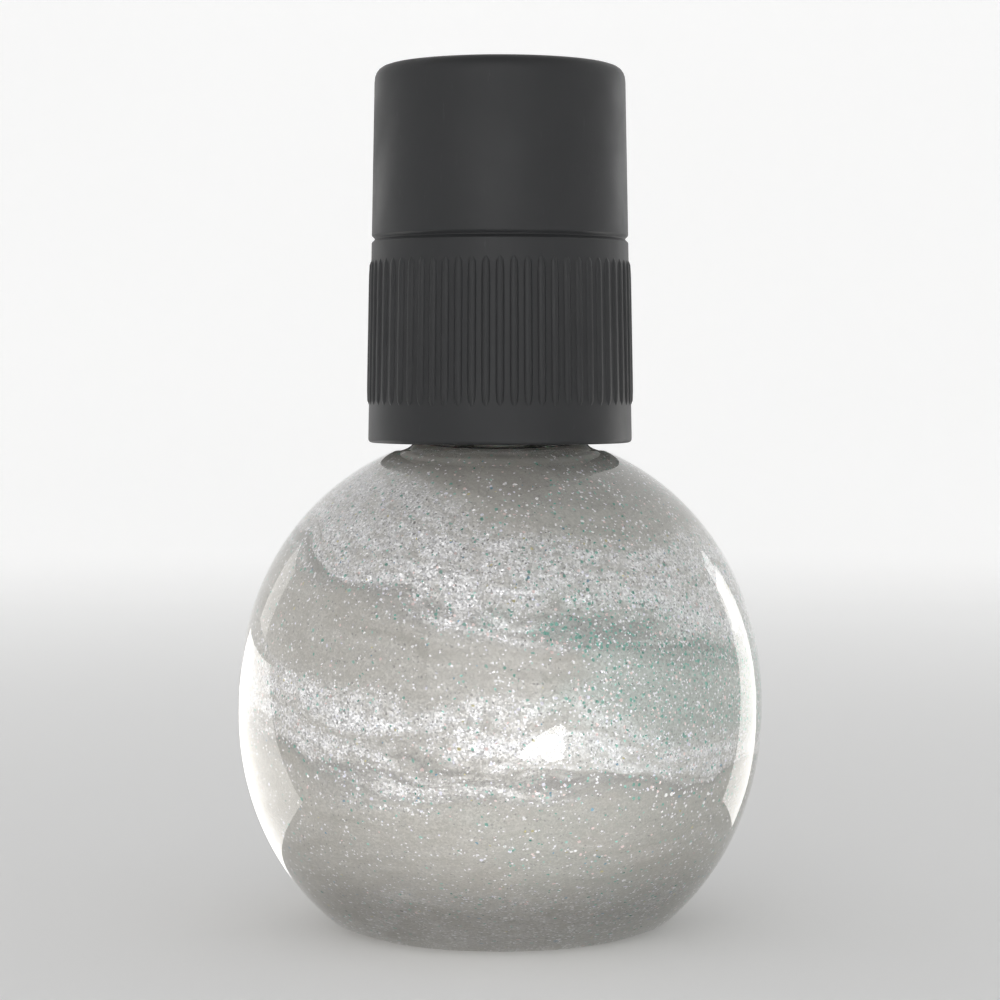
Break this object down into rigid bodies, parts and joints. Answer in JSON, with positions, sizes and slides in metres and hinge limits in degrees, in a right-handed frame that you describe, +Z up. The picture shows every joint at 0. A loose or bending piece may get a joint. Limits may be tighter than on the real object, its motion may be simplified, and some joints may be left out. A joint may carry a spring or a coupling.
{
  "type": "nail polish bottle",
  "caption": "Round ball-bodied glass bottle of silver-grey glitter nail polish with a screw cap that carries a brush; mixing balls inside.",
  "frame": {"origin": "centre of the flat foot ring, on the surface that the bottle stands on", "axes": "+Z up the bottle's axis through the neck and cap; +Y away from the front view, +X to its right"},
  "size_m": [0.0358, 0.0358, 0.0585],
  "materials": {
    "clear_glass": "polished flint glass",
    "glitter_polish": "silver-grey shimmer with fine multi-coloured glitter flakes, wet gloss",
    "polished_steel": "polished stainless steel",
    "label_paper": "uncoated white label stock, blank",
    "liner_foam": "soft matte closed-cell foam",
    "inner_cap_plastic": "natural white moulded polypropylene",
    "overcap_plastic": "black soft-touch moulded plastic",
    "stem_plastic": "white moulded polyethylene",
    "staple_steel": "cut steel strip",
    "bristle_nylon": "fine black nylon filaments"
  },
  "bodies": {
    "bottle": {"glass_bottle": "clear_glass", "polish_fill": "glitter_polish", "base_label": "label_paper"},
    "ball_1": {"mixing_ball_1": "polished_steel"},
    "ball_2": {"mixing_ball_2": "polished_steel"},
    "liner": {"sealing_liner": "liner_foam"},
    "brush": {"brush_stem": "stem_plastic", "bristle_anchor": "staple_steel", "bristle_tuft": "bristle_nylon"},
    "cap": {"inner_cap": "inner_cap_plastic", "overcap": "overcap_plastic"}
  },
  "joints": [
    {"name": "brush_lift", "type": "slide", "parent": "bottle", "child": "liner", "axis": [0, 0, 1], "range_m": [0, 0.045]},
    {"name": "cap_rise", "type": "slide", "parent": "liner", "child": "brush", "axis": [0, 0, 1], "range_m": [0, 0.00425]},
    {"name": "cap_turn", "type": "hinge", "parent": "brush", "child": "cap", "pos_m": [0, 0, 0.045], "axis": [0, 0, 1], "range_deg": [0, 720]},
    {"name": "ball_1_roll", "type": "hinge", "parent": "bottle", "child": "ball_1", "pos_m": [0, 0, 0.007], "axis": [0, 0, 1], "range_deg": [-70, 70]},
    {"name": "ball_2_roll", "type": "hinge", "parent": "bottle", "child": "ball_2", "pos_m": [0, 0, 0.007], "axis": [0, 0, 1], "range_deg": [-70, 70]}
  ],
  "couplings": [
    {"joint": "cap_rise", "follows": "cap_turn", "m_per_rad": 0.00033693}
  ]
}
